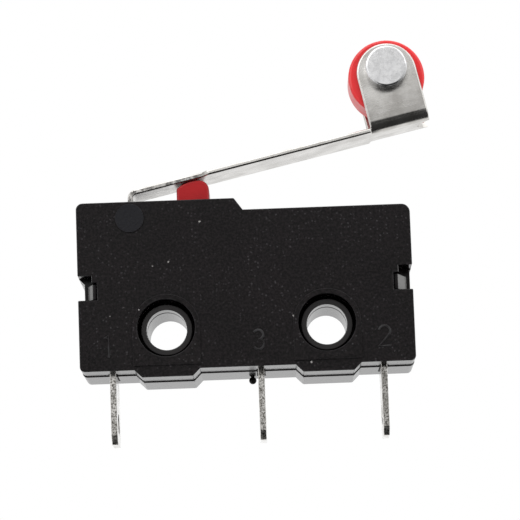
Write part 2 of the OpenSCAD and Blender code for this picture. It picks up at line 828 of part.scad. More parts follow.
// Rivet on the normally closed terminal, facing down
module normally_closed_contact() {
    color([0.85, 0.85, 0.86])
        translate([contact_x, mid_y, closed_z - term_t / 2]) {
            mirror([0, 0, 1])
                contact_head();
            translate([0, 0, -0.1])
                cylinder(h = term_t + 0.1, d = shank_d);
        }
}

base();
cover();
hinge_pin();
lever();
roller();
roller_rivet();
plunger();
common_terminal();
normally_open_terminal();
normally_closed_terminal();
snap_blade();
moving_contact();
normally_open_contact();
normally_closed_contact();
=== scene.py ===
"""Dresses a subminiature snap-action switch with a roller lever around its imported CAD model.

The case halves, lever, plunger and terminals are welded copies of the solids with broken edges. The
roller, its rivet and the hinge pin are turned afresh, the terminal digits are raised on the cover,
and the pieces inside the case keep their solids. Sizes in the classes are in millimetres, and the
scene itself is in metres.
"""

import json
import logging
import math
from collections.abc import Callable
from dataclasses import dataclass
from enum import Enum
from typing import Any

import bmesh
import bpy
from bmesh.types import BMEdge, BMesh, BMFace
from bpy.types import Material, Mesh, Node, NodeSocket, NodeTree, Object
from mathutils import Matrix, Vector


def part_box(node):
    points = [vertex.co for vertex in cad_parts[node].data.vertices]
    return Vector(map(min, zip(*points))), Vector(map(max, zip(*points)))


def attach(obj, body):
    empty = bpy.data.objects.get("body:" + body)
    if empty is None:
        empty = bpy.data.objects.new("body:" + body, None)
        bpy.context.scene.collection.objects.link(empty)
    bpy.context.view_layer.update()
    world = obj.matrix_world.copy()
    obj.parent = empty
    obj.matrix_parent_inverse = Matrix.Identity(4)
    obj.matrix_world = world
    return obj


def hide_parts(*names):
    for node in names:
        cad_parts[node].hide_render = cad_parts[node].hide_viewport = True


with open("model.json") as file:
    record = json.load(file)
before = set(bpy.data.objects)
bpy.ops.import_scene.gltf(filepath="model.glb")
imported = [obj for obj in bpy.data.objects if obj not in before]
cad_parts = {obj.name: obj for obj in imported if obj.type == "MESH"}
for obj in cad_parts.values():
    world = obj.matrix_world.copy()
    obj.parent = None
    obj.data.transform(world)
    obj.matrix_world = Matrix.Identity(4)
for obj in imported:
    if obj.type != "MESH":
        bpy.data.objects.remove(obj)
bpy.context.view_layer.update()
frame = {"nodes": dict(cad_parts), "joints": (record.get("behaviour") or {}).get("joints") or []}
JOINT_PLACES = {joint["name"]: Vector(joint["pos_m"]) for joint in frame["joints"] if "pos_m" in joint}

LOG = logging.getLogger("roller_lever_switch")
MM = 0.001
# Millimetres along Y: the middle of the depth, and the seam between the halves of the case.
MIDDLE_Y = -3.2
SEAM_Y = -4.0
PICTURE = 520
SENSOR = 36.0

Color = tuple[float, float, float]
Point = tuple[float, float, float]
Pair = tuple[float, float]


class Body(Enum):
    """Bodies of the model that new pieces ride on."""

    CASE = "case"
    LEVER = "lever"
    ROLLER = "roller"
    PLUNGER = "plunger"


class Slot(Enum):
    """Material slots of the record, one named for each new piece."""

    CASE_PLASTIC = "case_plastic"
    ROLLER_PLASTIC = "roller_plastic"
    PLUNGER_PLASTIC = "plunger_plastic"
    LEVER_STEEL = "lever_steel"
    PIN_STEEL = "pin_steel"
    TERMINAL_METAL = "terminal_metal"


class Axis(Enum):
    """Directions of the frame."""

    X = (1.0, 0.0, 0.0)
    Y = (0.0, 1.0, 0.0)
    Z = (0.0, 0.0, 1.0)


class Effect(Enum):
    """Surface effects that several finishes share, each one a shader node group."""

    GRAIN = "moulded_grain"
    DUST = "dust_specks"
    EDGE_WEAR = "edge_wear"
    ROLLED = "rolled_lines"
    MOTTLE = "mottled_plating"


class Mark(Enum):
    """Face attributes that the meshes carry and the finishes read."""

    EDGE_WEAR = "edge_wear"
    # Marks the snap-hook ramps, which take a painted reflection: light grey standing in for the white
    # surroundings they mirror.
    HOOK_SCUFF = "hook_scuff"
    CUT_EDGE = "cut_edge"


@dataclass
class NodeSheet:
    """Lays out the nodes and links of one node tree."""

    tree: NodeTree

    def feed(self, node: Node, inputs: dict[Any, Any]) -> None:
        """Fills inputs of a node.

        Args:
            node: The node.
            inputs: Values or output sockets, keyed by the name or number of the input.
        """
        for key, value in inputs.items():
            if isinstance(value, NodeSocket):
                self.tree.links.new(value, node.inputs[key])
            else:
                node.inputs[key].default_value = value

    def add(self, kind: str, inputs: dict[Any, Any] | None = None, **settings: Any) -> Node:
        """Adds one node, sets its options and fills its inputs.

        Args:
            kind: Blender's name of the node type.
            inputs: As for feed.
            settings: Options of the node, such as its operation.

        Returns:
            The new node.
        """
        node = self.tree.nodes.new(kind)
        for option, value in settings.items():
            setattr(node, option, value)
        self.feed(node, inputs or {})
        return node

    def math(self, operation: str, first: Any, second: Any = 0.0, third: Any = 0.0) -> NodeSocket:
        """Returns the result of one sum on up to three values or sockets."""
        return self.add("ShaderNodeMath", {0: first, 1: second, 2: third}, operation=operation).outputs[0]

    def ramp(self, value: Any, low: float, high: float, start: float = 0.0, end: float = 1.0) -> NodeSocket:
        """Maps a value smoothly from one range to another.

        Args:
            value: Socket to map.
            low: Value that gives start.
            high: Value that gives end.
            start: Result at low and below.
            end: Result at high and above.

        Returns:
            The socket of the mapped value.
        """
        ports = {"Value": value, "From Min": low, "From Max": high, "To Min": start, "To Max": end}
        return self.add("ShaderNodeMapRange", ports, interpolation_type="SMOOTHSTEP").outputs["Result"]

    def mix(self, share: Any, first: Any, second: Any) -> NodeSocket:
        """Blends two colours.

        Args:
            share: Share of the second colour, as a value or socket.
            first: Colour or socket.
            second: Colour or socket.

        Returns:
            The socket of the blended colour.
        """
        first, second = (c if isinstance(c, NodeSocket) else (*c, 1.0) for c in (first, second))
        return self.add("ShaderNodeMix", {0: share, 6: first, 7: second}, data_type="RGBA").outputs[2]

    def noise(self, vector: Any, scale: Any, detail: float = 3.0, roughness: float = 0.55) -> NodeSocket:
        """Adds a noise texture.

        Args:
            vector: Socket of the coordinates.
            scale: Repeats per metre.
            detail: Number of finer layers.
            roughness: Weight of the finer layers.

        Returns:
            The socket of its value.
        """
        ports = {"Vector": vector, "Scale": scale, "Detail": detail, "Roughness": roughness}
        return self.add("ShaderNodeTexNoise", ports).outputs[0]

    def coordinates(self) -> NodeSocket:
        """Returns the Object coordinates."""
        return self.add("ShaderNodeTexCoord").outputs["Object"]

    def mark(self, mark: Mark) -> NodeSocket:
        """Returns the value of a face attribute."""
        return self.add("ShaderNodeAttribute", attribute_name=mark.value).outputs["Fac"]


class EffectLibrary:
    """Builds each shared effect once and places it in the materials that use it.

    Spans are the part of a noise that a mask spreads out. The scale of a second noise is given
    against the scale of the effect.
    """

    SOFT_SPAN = (0.3, 0.7)
    PATCHY_SPAN = (0.35, 0.65)
    SPOT_SPAN = (0.44, 0.6)
    DRIFT_SCALE = 0.06
    TEAR_SCALE = 9.0
    CLOUD_SCALE = 0.07
    SPOT_SCALE = 3.7
    DRAWN_OUT = 0.03
    TORN_REACH = (0.2, 1.6)
    LEAST_WEAR = 0.15

    def __init__(self) -> None:
        """Starts with no groups built."""
        self.groups: dict[Effect, NodeTree] = {}

    def place(self, sheet: NodeSheet, effect: Effect, vector: Any, **amounts: float) -> Any:
        """Places a group node in a material.

        Args:
            sheet: The material's sheet.
            effect: Which effect.
            vector: Socket of the coordinates.
            amounts: The group's number inputs.

        Returns:
            The sockets of its results, by name.
        """
        if effect not in self.groups:
            self.groups[effect] = self.build(effect)
        ports = {"Vector": vector, **amounts}
        return sheet.add("ShaderNodeGroup", ports, node_tree=self.groups[effect]).outputs

    def build(self, effect: Effect) -> NodeTree:
        """Builds the group of one effect.

        Args:
            effect: Which effect.

        Returns:
            Its node tree.
        """
        recipes = {
            Effect.GRAIN: (self.grain, ("Scale",)),
            Effect.DUST: (self.dust, ("Scale", "Size", "Amount")),
            Effect.EDGE_WEAR: (self.edge_wear, ("Scale", "Amount")),
            Effect.ROLLED: (self.rolled, ("Scale",)),
            Effect.MOTTLE: (self.mottle, ("Scale",)),
        }
        make, ports = recipes[effect]
        tree = bpy.data.node_groups.new(effect.value, "ShaderNodeTree")
        tree.interface.new_socket("Vector", in_out="INPUT", socket_type="NodeSocketVector")
        for port in ports:
            tree.interface.new_socket(port, in_out="INPUT", socket_type="NodeSocketFloat")
        sheet = NodeSheet(tree)
        results = make(sheet, sheet.add("NodeGroupInput").outputs)
        for name in results:
            tree.interface.new_socket(name, in_out="OUTPUT", socket_type="NodeSocketFloat")
        sheet.add("NodeGroupOutput", results)
        return tree

    def grain(self, sheet: NodeSheet, ports: Any) -> dict[str, Any]:
        """Lays out the fine skin and the slow drift in tone of a moulded face.

        Args:
            sheet: The group's sheet.
            ports: Sockets of the group's inputs.

        Returns:
            The group's results by name.
        """
        vector, scale = ports["Vector"], ports["Scale"]
        fine = sheet.noise(vector, scale, detail=4.0, roughness=0.65)
        slow = sheet.noise(vector, sheet.math("MULTIPLY", scale, self.DRIFT_SCALE), detail=4.0, roughness=0.6)
        return {"Height": fine, "Tone": sheet.ramp(slow, *self.SOFT_SPAN)}

    def dust(self, sheet: NodeSheet, ports: Any) -> dict[str, Any]:
        """Lays out sparse small specks of uneven outline.

        Args:
            sheet: The group's sheet.
            ports: Sockets of the group's inputs.

        Returns:
            The group's results by name.
        """
        vector, scale = ports["Vector"], ports["Scale"]
        cells = sheet.add("ShaderNodeTexVoronoi", {"Vector": vector, "Scale": scale})
        torn = sheet.noise(vector, sheet.math("MULTIPLY", scale, self.TEAR_SCALE), detail=2.0)
        uneven = sheet.ramp(torn, *self.SOFT_SPAN, *self.TORN_REACH)
        reach = sheet.math("MULTIPLY", ports["Size"], uneven)
        inside = sheet.math("LESS_THAN", cells.outputs["Distance"], reach)
        draw = sheet.add("ShaderNodeSeparateColor", {0: cells.outputs["Color"]}).outputs[0]
        chosen = sheet.math("LESS_THAN", draw, ports["Amount"])
        return {"Mask": sheet.math("MULTIPLY", inside, chosen)}

    def edge_wear(self, sheet: NodeSheet, ports: Any) -> dict[str, Any]:
        """Lays out a broken line of wear on the rounded edges of a piece.

        Args:
            sheet: The group's sheet.
            ports: Sockets of the group's inputs.

        Returns:
            The group's results by name.
        """
        patchy = sheet.noise(ports["Vector"], ports["Scale"], detail=4.0, roughness=0.6)
        broken = sheet.ramp(patchy, *self.PATCHY_SPAN, start=self.LEAST_WEAR)
        share = sheet.math("MULTIPLY", broken, ports["Amount"])
        return {"Mask": sheet.math("MULTIPLY", sheet.mark(Mark.EDGE_WEAR), share)}

    def rolled(self, sheet: NodeSheet, ports: Any) -> dict[str, Any]:
        """Lays out the fine lines of rolled sheet, drawn out along local X.

        Args:
            sheet: The group's sheet.
            ports: Sockets of the group's inputs.

        Returns:
            The group's results by name.
        """
        vector, scale = ports["Vector"], ports["Scale"]
        drawn = sheet.add("ShaderNodeMapping", {0: vector, "Scale": (self.DRAWN_OUT, 1.0, 1.0)}).outputs[0]
        lines = sheet.noise(drawn, scale, roughness=0.6)
        cloud = sheet.noise(vector, sheet.math("MULTIPLY", scale, self.CLOUD_SCALE))
        return {"Height": lines, "Tone": sheet.ramp(cloud, *self.SOFT_SPAN)}

    def mottle(self, sheet: NodeSheet, ports: Any) -> dict[str, Any]:
        """Lays out the clouds and dull spots of dipped plating.

        Args:
            sheet: The group's sheet.
            ports: Sockets of the group's inputs.

        Returns:
            The group's results by name.
        """
        vector, scale = ports["Vector"], ports["Scale"]
        cloud = sheet.noise(vector, scale, detail=4.0, roughness=0.6)
        spots = sheet.noise(vector, sheet.math("MULTIPLY", scale, self.SPOT_SCALE), roughness=0.7)
        return {
            "Tone": sheet.ramp(cloud, *self.PATCHY_SPAN),
            "Spots": sheet.ramp(spots, *self.SPOT_SPAN),
            "Height": spots,
        }


EFFECTS = EffectLibrary()


def start_material(name: str, metallic: float) -> tuple[Material, NodeSheet, Node]:
    """Starts a material with one Principled shader.

    Args:
        name: Name of the material.
        metallic: 1 for metal, 0 for plastic.

    Returns:
        The material, its sheet and its shader.
    """
    material = bpy.data.materials.new(name)
    material.use_nodes = True
    material.node_tree.nodes.clear()
    sheet = NodeSheet(material.node_tree)
    shader = sheet.add("ShaderNodeBsdfPrincipled", {"Metallic": metallic})
    sheet.add("ShaderNodeOutputMaterial", {"Surface": shader.outputs[0]})
    return material, sheet, shader


def dress(sheet: NodeSheet, shader: Node, color: Any, rough: Any, height: Any, relief: Pair) -> None:
    """Links a finish to its shader.

    Args:
        sheet: The material's sheet.
        shader: The material's shader.
        color: Socket of the colour.
        rough: Socket of the roughness.
        height: Socket of the height.
        relief: Depth of the relief in millimetres, and the share of it that shows.
    """
    depth, strength = relief
    ports = {"Height": height, "Distance": depth * MM, "Strength": strength}
    normal = sheet.add("ShaderNodeBump", ports).outputs[0]
    sheet.feed(shader, {"Base Color": color, "Roughness": rough, "Normal": normal})


@dataclass(frozen=True)
class Specks:
    """Stray specks: places for one per metre, its reach in a place, and the share of places taken."""

    scale: float
    size: float
    amount: float

    def mask(self, sheet: NodeSheet, vector: Any) -> NodeSocket:
        """Returns the mask of the specks."""
        amounts = {"Scale": self.scale, "Size": self.size, "Amount": self.amount}
        return EFFECTS.place(sheet, Effect.DUST, vector, **amounts)["Mask"]


@dataclass(frozen=True)
class Wear:
    """Broken wear on rounded edges: breaks per metre, and the share of the worn colour."""

    scale: float
    amount: float

    def mask(self, sheet: NodeSheet, vector: Any) -> NodeSocket:
        """Returns the mask of the wear."""
        return EFFECTS.place(sheet, Effect.EDGE_WEAR, vector, Scale=self.scale, Amount=self.amount)["Mask"]


@dataclass(frozen=True)
class CasePlastic:
    """Black moulded case plastic with a fine skin, faint scuffs on its edges, a painted reflection on the
    snap-hook ramps, painted light on the recessed tube ends, stray dust and a dull seam.
    """

    dark: Color = (0.0006, 0.0003, 0.0004)
    light: Color = (0.0098, 0.0074, 0.0082)
    # Worn colour of rounded edges; on the digits it is laid on every stroke, partly as wear and partly as a
    # painted highlight.
    worn: Color = (0.055, 0.054, 0.056)
    dusty: Color = (0.3, 0.29, 0.28)
    speck: Color = (0.045, 0.042, 0.045)
    pad: Color = (0.0095, 0.0095, 0.0118)
    # Painted reflection: light grey on the snap-hook ramps, standing in for the white surroundings they
    # mirror.
    ramp_sheen: Color = (0.16, 0.158, 0.156)
    # Painted light: a lighter grey on the recessed end faces of the mounting tubes, which stand in shade.
    tube_painted_light: Color = (0.035, 0.033, 0.033)
    gloss: float = 0.15
    grain: float = 6500.0
    drift_share: float = 0.25
    fleck_share: float = 0.75
    fleck_span: Pair = (0.4, 0.62)
    wear: Wear = Wear(scale=900.0, amount=0.3)
    dust: Specks = Specks(scale=1100.0, size=0.055, amount=0.2)
    pits: Specks = Specks(scale=5200.0, size=0.24, amount=0.4)
    relief: Pair = (0.03, 0.9)
    tube_y: Pair = (-5.31, -5.23)
    pad_d: float = 1.7
    pad_front: float = -6.33
    skin_front: float = -6.3
    skin_rough: Pair = (0.42, 0.55)
    side_rough: float = 0.185
    seam_reach: float = 0.14
    seam_rough: float = 0.95

    def material(self) -> Material:
        """Lays out the finish.

        Returns:
            The finished material.
        """
        material, sheet, shader = start_material("case_black", metallic=0.0)
        shader.inputs["Specular IOR Level"].default_value = self.gloss
        vector = sheet.coordinates()
        axes = sheet.add("ShaderNodeSeparateXYZ", {0: vector}).outputs
        grain = EFFECTS.place(sheet, Effect.GRAIN, vector, Scale=self.grain)
        # Mask of the recessed tube end faces that take the painted light.
        behind = sheet.math("GREATER_THAN", axes[1], self.tube_y[0] * MM)
        tube_painted_light = sheet.math("MULTIPLY", behind, sheet.math("LESS_THAN", axes[1], self.tube_y[1] * MM))
        coats = (
            (sheet.math("MULTIPLY", self.pits.mask(sheet, vector), grain["Tone"]), self.speck),
            (self.pad_mask(sheet, axes), self.pad),
            (tube_painted_light, self.tube_painted_light),
            (self.wear.mask(sheet, vector), self.worn),
            # Painted reflection on the snap-hook ramps.
            (sheet.mark(Mark.HOOK_SCUFF), self.ramp_sheen),
            (self.dust.mask(sheet, vector), self.dusty),
        )
        fleck = sheet.ramp(grain["Height"], *self.fleck_span, end=self.fleck_share)
        share = sheet.math("MULTIPLY_ADD", grain["Tone"], self.drift_share, fleck)
        color = sheet.mix(share, self.dark, self.light)
        for mask, coat in coats:
            color = sheet.mix(mask, color, coat)
        front = sheet.math("LESS_THAN", axes[1], self.skin_front * MM)
        skin = sheet.ramp(grain["Tone"], 0.0, 1.0, *self.skin_rough)
        step = sheet.math("SUBTRACT", skin, self.side_rough)
        plain = sheet.math("MULTIPLY_ADD", front, step, self.side_rough)
        from_seam = sheet.math("ABSOLUTE", sheet.math("SUBTRACT", axes[1], SEAM_Y * MM))
        on_seam = sheet.math("LESS_THAN", from_seam, self.seam_reach * MM)
        rough = sheet.math("MAXIMUM", plain, sheet.math("MULTIPLY", on_seam, self.seam_rough))
        dress(sheet, shader, color, rough, sheet.math("MULTIPLY", grain["Height"], front), self.relief)
        return material

    def pad_mask(self, sheet: NodeSheet, axes: Any) -> NodeSocket:
        """Marks the polished round pad over the hinge.

        Args:
            sheet: The material's sheet.
            axes: Sockets of the coordinates one by one.

        Returns:
            The socket of the mask.
        """
        pivot = JOINT_PLACES["lever_pivot"]
        flat = sheet.add("ShaderNodeCombineXYZ", {0: axes[0], 2: axes[2]}).outputs[0]
        ends = {0: flat, 1: (pivot.x, 0.0, pivot.z)}
        away = sheet.add("ShaderNodeVectorMath", ends, operation="DISTANCE").outputs[1]
        near = sheet.math("LESS_THAN", away, self.pad_d / 2 * MM)
        return sheet.math("MULTIPLY", near, sheet.math("LESS_THAN", axes[1], self.pad_front * MM))


@dataclass(frozen=True)
class RedPlastic:
    """Smooth red moulded plastic, for the roller and the plunger."""

    name: str
    deep: Color
    bright: Color
    worn: Color
    gloss: float
    rough: Pair = (0.28, 0.42)
    grain: float = 7000.0
    wear: Wear = Wear(scale=1200.0, amount=0.5)
    dust: Specks = Specks(scale=1600.0, size=0.05, amount=0.06)
    relief: Pair = (0.006, 0.35)

    def material(self) -> Material:
        """Lays out the finish.

        Returns:
            The finished material.
        """
        material, sheet, shader = start_material(self.name, metallic=0.0)
        vector = sheet.coordinates()
        grain = EFFECTS.place(sheet, Effect.GRAIN, vector, Scale=self.grain)
        color = sheet.mix(grain["Tone"], self.deep, self.bright)
        for flaw in (self.wear, self.dust):
            color = sheet.mix(flaw.mask(sheet, vector), color, self.worn)
        rough = sheet.ramp(grain["Tone"], 0.0, 1.0, *self.rough)
        shader.inputs["Specular IOR Level"].default_value = self.gloss
        dress(sheet, shader, color, rough, grain["Height"], self.relief)
        return material


@dataclass(frozen=True)
class RolledSteel:
    """Bright steel sheet with fine rolled lines, torn cut edges and a darker mottle under the bend, for the
    lever.
    """

    name: str
    dark: Color
    light: Color
    edge: Color
    # Dark colour of the sheared tail edge, also laid as a darker mottle under the bend.
    sheared: Color
    rough: Pair
    slope: float
    lines: float = 9000.0
    line_span: Pair = (0.3, 0.7)
    shear: float = 3500.0
    torn_span: Pair = (0.38, 0.62)
    least_torn: float = 0.25
    wear: Wear = Wear(scale=1500.0, amount=0.4)
    dust: Specks = Specks(scale=1400.0, size=0.06, amount=0.1)
    relief: Pair = (0.006, 0.15)

    def material(self) -> Material:
        """Lays out the finish.

        Returns:
            The finished material.
        """
        material, sheet, shader = start_material(self.name, metallic=1.0)
        turn = (0.0, math.radians(self.slope), 0.0)
        vector = sheet.add("ShaderNodeMapping", {0: sheet.coordinates(), "Rotation": turn}).outputs[0]
        rolled = EFFECTS.place(sheet, Effect.ROLLED, vector, Scale=self.lines)
        patchy = sheet.noise(vector, self.shear, detail=4.0, roughness=0.65)
        torn = sheet.ramp(patchy, *self.torn_span, start=self.least_torn)
        color = sheet.mix(rolled["Tone"], self.dark, self.light)
        color = sheet.mix(self.wear.mask(sheet, vector), color, self.edge)
        color = sheet.mix(sheet.math("MULTIPLY", sheet.mark(Mark.CUT_EDGE), torn), color, self.sheared)
        color = sheet.mix(self.dust.mask(sheet, vector), color, self.dark)
        rough = sheet.ramp(rolled["Height"], *self.line_span, *self.rough)
        dress(sheet, shader, color, rough, rolled["Height"], self.relief)
        return material


@dataclass(frozen=True)
class PlatedMetal:
    """Plated, bare or turned metal with clouds and dull spots, for pins, terminals and contacts."""

    name: str
    dull: Color
    bright: Color
    spot: Color
    edge: Color
    face: Color
    rough: Pair = (0.34, 0.16)
    clouds: float = 900.0
    wear: Wear = Wear(scale=1400.0, amount=0.7)
    relief: Pair = (0.01, 0.3)

    def material(self) -> Material:
        """Lays out the finish.

        Returns:
            The finished material.
        """
        material, sheet, shader = start_material(self.name, metallic=1.0)
        vector = sheet.coordinates()
        mottle = EFFECTS.place(sheet, Effect.MOTTLE, vector, Scale=self.clouds)
        color = sheet.mix(mottle["Tone"], self.dull, self.bright)
        color = sheet.mix(mottle["Spots"], color, self.spot)
        color = sheet.mix(self.wear.mask(sheet, vector), color, self.edge)
        face = sheet.mix(mottle["Tone"], self.bright, self.face)
        color = sheet.mix(sheet.mark(Mark.CUT_EDGE), face, color)
        rough = sheet.ramp(mottle["Tone"], 0.0, 1.0, *self.rough)
        dress(sheet, shader, color, rough, mottle["Height"], self.relief)
        return material


@dataclass(frozen=True)
class EdgeBreak:
    """How the outer edges of a piece are rounded.

    Attributes:
        width: Largest width of the rounding, in millimetres.
        segments: Faces across the rounding.
        angle: Edges sharper than this, in degrees, are rounded.
        room: Largest share of a neighbouring face that the rounding takes.
    """

    width: float
    segments: int = 2
    angle: float = 35.0
    room: float = 0.3


def box_mm(node: str) -> tuple[Vector, Vector]:
    """Returns the lowest and the highest corner of a CAD node at rest, in millimetres."""
    low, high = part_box(node)
    return low / MM, high / MM


def hang(name: str, data: bpy.types.ID) -> Object:
    """Makes an object and links it to the scene.

    Args:
        name: Name of the object.
        data: Its mesh, curve, lamp or camera.

    Returns:
        The object.
    """
    thing = bpy.data.objects.new(name, data)
    bpy.context.scene.collection.objects.link(thing)
    return thing


def take_mesh(name: str, carrier: Object) -> Mesh:
    """Takes the mesh that a carrier's curve or modifiers make, and removes the carrier.

    Args:
        name: Name of the mesh.
        carrier: The object that makes it.

    Returns:
        The mesh.
    """
    view = bpy.context.evaluated_depsgraph_get()
    made = carrier.evaluated_get(view)
    mesh = bpy.data.meshes.new_from_object(made, preserve_all_data_layers=True, depsgraph=view)
    mesh.name = name
    bpy.data.objects.remove(carrier)
    return mesh


def evenly(_: Vector) -> float:
    """Gives every edge the full width."""
    return 1.0


class Workshop:
    """Makes meshes from solids and turned profiles, and sets the finished pieces in place."""

    WELD = 1e-7
    FLAT = math.radians(0.4)
    SMOOTH = math.radians(32.0)
    ROUNDING = 1

    def welded(self, node: str, cuts: list[tuple[Axis, float]]) -> BMesh:
        """Copies a CAD node, joins its loose triangles and merges flat ones into whole faces.

        Args:
            node: Name of the node.
            cuts: Planes through the holes, as an axis and a place in millimetres. A face with a hole
                is kept in two parts there, so that each part has one plain outline.

        Returns:
            The copy, open for more work.
        """
        bm = bmesh.new()
        bm.from_mesh(frame["nodes"][node].data)
        bmesh.ops.remove_doubles(bm, verts=bm.verts, dist=self.WELD)
        for axis, place in cuts:
            normal = Vector(axis.value)
            cut = bmesh.ops.bisect_plane(
                bm, geom=[*bm.verts, *bm.edges, *bm.faces], dist=self.WELD,
                plane_co=normal * place * MM, plane_no=normal,
            )
            for item in cut["geom_cut"]:
                if isinstance(item, BMEdge):
                    item.seam = True
        bmesh.ops.dissolve_limit(
            bm, angle_limit=self.FLAT, use_dissolve_boundaries=False, verts=bm.verts, edges=bm.edges,
            delimit={"SEAM"},
        )
        return bm

    def turned(self, profile: list[Pair], middle: Vector, steps: int) -> BMesh:
        """Turns a closed profile about an axis along Y.

        Args:
            profile: Corners as radius and Y, in millimetres.
            middle: A point on the axis, in metres.
            steps: Number of steps round.

        Returns:
            The turned solid, open for more work.
        """
        bm = bmesh.new()
        corners = [bm.verts.new((middle.x + r * MM, y * MM, middle.z)) for r, y in profile]
        lines = [bm.edges.new(pair) for pair in zip(corners, corners[1:])]
        if profile[0][0] > 0.0:
            lines.append(bm.edges.new((corners[-1], corners[0])))
        bmesh.ops.spin(
            bm, geom=corners + lines, cent=middle, axis=Axis.Y.value, dvec=(0.0, 0.0, 0.0),
            angle=math.tau, steps=steps, use_merge=True, use_duplicate=False,
        )
        self.close(bm)
        return bm

    def close(self, bm: BMesh) -> None:
        """Merges the doubles of a new shape and turns its faces outwards."""
        bmesh.ops.remove_doubles(bm, verts=bm.verts, dist=self.WELD)
        bmesh.ops.recalc_face_normals(bm, faces=bm.faces)

    @staticmethod
    def reach(edge: BMEdge, face: BMFace) -> float:
        """Returns how far a face reaches away from one of its edges, in metres."""
        start, along = edge.verts[0].co, (edge.verts[1].co - edge.verts[0].co).normalized()
        return max((v.co - start).cross(along).length for v in face.verts)

    def rounded(
        self, name: str, bm: BMesh, rule: EdgeBreak, share: Callable[[Vector], float] = evenly
    ) -> Mesh:
        """Rounds the outer edges of a solid and marks the rounding as worn.

        Args:
            name: Name of the mesh.
            bm: The solid, which is used up.
            rule: How wide and how fine the rounding is.
            share: Gives the share of the full width at the middle of an edge, or 0 to leave it sharp.

        Returns:
            The finished mesh.
        """
        weights = bm.edges.layers.float.new("bevel_weight_edge")
        width = rule.width * MM
        for edge in bm.edges:
            if len(edge.link_faces) != 2 or not edge.is_convex:
                continue
            if math.degrees(edge.calc_face_angle(0.0)) < rule.angle:
                continue
            middle = (edge.verts[0].co + edge.verts[1].co) / 2
            room = rule.room * min(self.reach(edge, f) for f in edge.link_faces)
            edge[weights] = min(share(middle / MM), room / width)
        rough = bpy.data.meshes.new(name + "_rough")
        bm.to_mesh(rough)
        bm.free()
        rough.shade_smooth()
        rough.set_sharp_from_angle(angle=self.SMOOTH)
        for _ in range(self.ROUNDING + 1):
            rough.materials.append(None)
        carrier = hang(name + "_rough", rough)
        bevel = carrier.modifiers.new("broken_edges", "BEVEL")
        bevel.limit_method = "WEIGHT"
        bevel.offset_type = "OFFSET"
        bevel.width = width
        bevel.segments = rule.segments
        bevel.profile = 0.5
        bevel.use_clamp_overlap = False
        bevel.miter_outer = "MITER_ARC"
        bevel.material = self.ROUNDING
        mesh = take_mesh(name, carrier)
        bpy.data.meshes.remove(rough)
        rounding = [face.material_index == self.ROUNDING for face in mesh.polygons]
        self.settle_normals(mesh, rounding)
        worn = mesh.attributes.new(Mark.EDGE_WEAR.value, "FLOAT", "FACE")
        worn.data.foreach_set("value", [float(flag) for flag in rounding])
        mesh.polygons.foreach_set("material_index", [0] * len(mesh.polygons))
        mesh.materials.clear()
        return mesh

    def settle_normals(self, mesh: Mesh, rounding: list[bool]) -> None:
        """Keeps flat faces flat in the shading and lets each rounding run smoothly between them.

        Args:
            mesh: The rounded mesh.
            rounding: For each face, whether it belongs to a rounding.
        """
        facing = [face.normal.copy() for face in mesh.polygons]
        around: list[list[int]] = [[] for _ in mesh.vertices]
        for face in mesh.polygons:
            for corner in face.vertices:
                around[corner].append(face.index)
        limit = math.cos(self.SMOOTH)

        def shared(face: int, plain: list[int]) -> Vector:
            """Returns the mean normal of the plain faces at a corner that run on smoothly from a face."""
            near = [facing[n] for n in plain if facing[n].dot(facing[face]) > limit]
            return sum(near, Vector()).normalized()

        normals = []
        for face in mesh.polygons:
            for corner in face.vertices:
                host = face.index
                plain = [n for n in around[corner] if not rounding[n]]
                if rounding[host]:
                    if not plain:
                        normals.append(sum((facing[n] for n in around[corner]), Vector()).normalized())
                        continue
                    host = max(plain, key=lambda n: facing[n].dot(facing[face.index]))
                normals.append(shared(host, plain))
        mesh.normals_split_custom_set(normals)

    @staticmethod
    def mark(mesh: Mesh, mark: Mark, test: Callable[[Vector, Vector], float]) -> None:
        """Gives the faces an attribute, which is mostly 1 on marked ones and 0 on the others.

        Args:
            mesh: The mesh.
            mark: Which attribute.
            test: Gives the value from the middle of a face, in millimetres, and its normal.
        """
        marks = mesh.attributes.new(mark.value, "FLOAT", "FACE")
        marks.data.foreach_set("value", [float(test(f.center / MM, f.normal)) for f in mesh.polygons])

    @staticmethod
    def install(mesh: Mesh, material: Material, body: Body, slot: Slot, *nodes: str) -> None:
        """Makes a mesh a piece of the same name, which rides on a body and stands for CAD nodes.

        Args:
            mesh: The finished mesh.
            material: Its finish.
            body: The body it moves with.
            slot: The record's slot of its finish; not used.
            nodes: The CAD nodes that it stands for.
        """
        mesh.materials.append(material)
        piece = hang(mesh.name, mesh)
        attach(piece, body.value)
        if nodes:
            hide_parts(*nodes)
        LOG.info("%s: %d faces, rides on %s", piece.name, len(mesh.polygons), body.value)


SHOP = Workshop()


def bow(across: float, up: float, radius: float, start: float, end: float, steps: int = 14) -> list[Pair]:
    """Lays points along part of a circle.

    Args:
        across: Place of its middle across.
        up: Place of its middle in height.
        radius: Its radius.
        start: Angle of the first point, in degrees.
        end: Angle of the last point, in degrees.
        steps: Number of steps from the first point to the last.

    Returns:
        The points.
    """
    angles = [math.radians(start + (end - start) * step / steps) for step in range(steps + 1)]
    return [(across + radius * math.cos(a), up + radius * math.sin(a)) for a in angles]


class Digit(Enum):
    """Terminal digits that stand on the cover."""

    ONE = 1
    TWO = 2
    THREE = 3

    def path(self) -> list[Pair]:
        """Lays out the digit's stroke.

        Returns:
            Its points across and up, for a height of 1 about its middle.
        """
        if self is Digit.ONE:
            return [(-0.2, 0.35), (0.0, 0.5), (0.0, -0.5)]
        if self is Digit.TWO:
            return [*bow(0.0, 0.22, 0.28, 165.0, -35.0), (-0.3, -0.5), (0.31, -0.5)]
        return [*bow(0.0, 0.25, 0.25, 150.0, -85.0), *bow(0.0, -0.23, 0.27, 85.0, -150.0)]


@dataclass(frozen=True)
class DigitPlace:
    """Where the middle of a digit is on the cover, and how high it is."""

    digit: Digit
    x: float
    z: float
    height: float


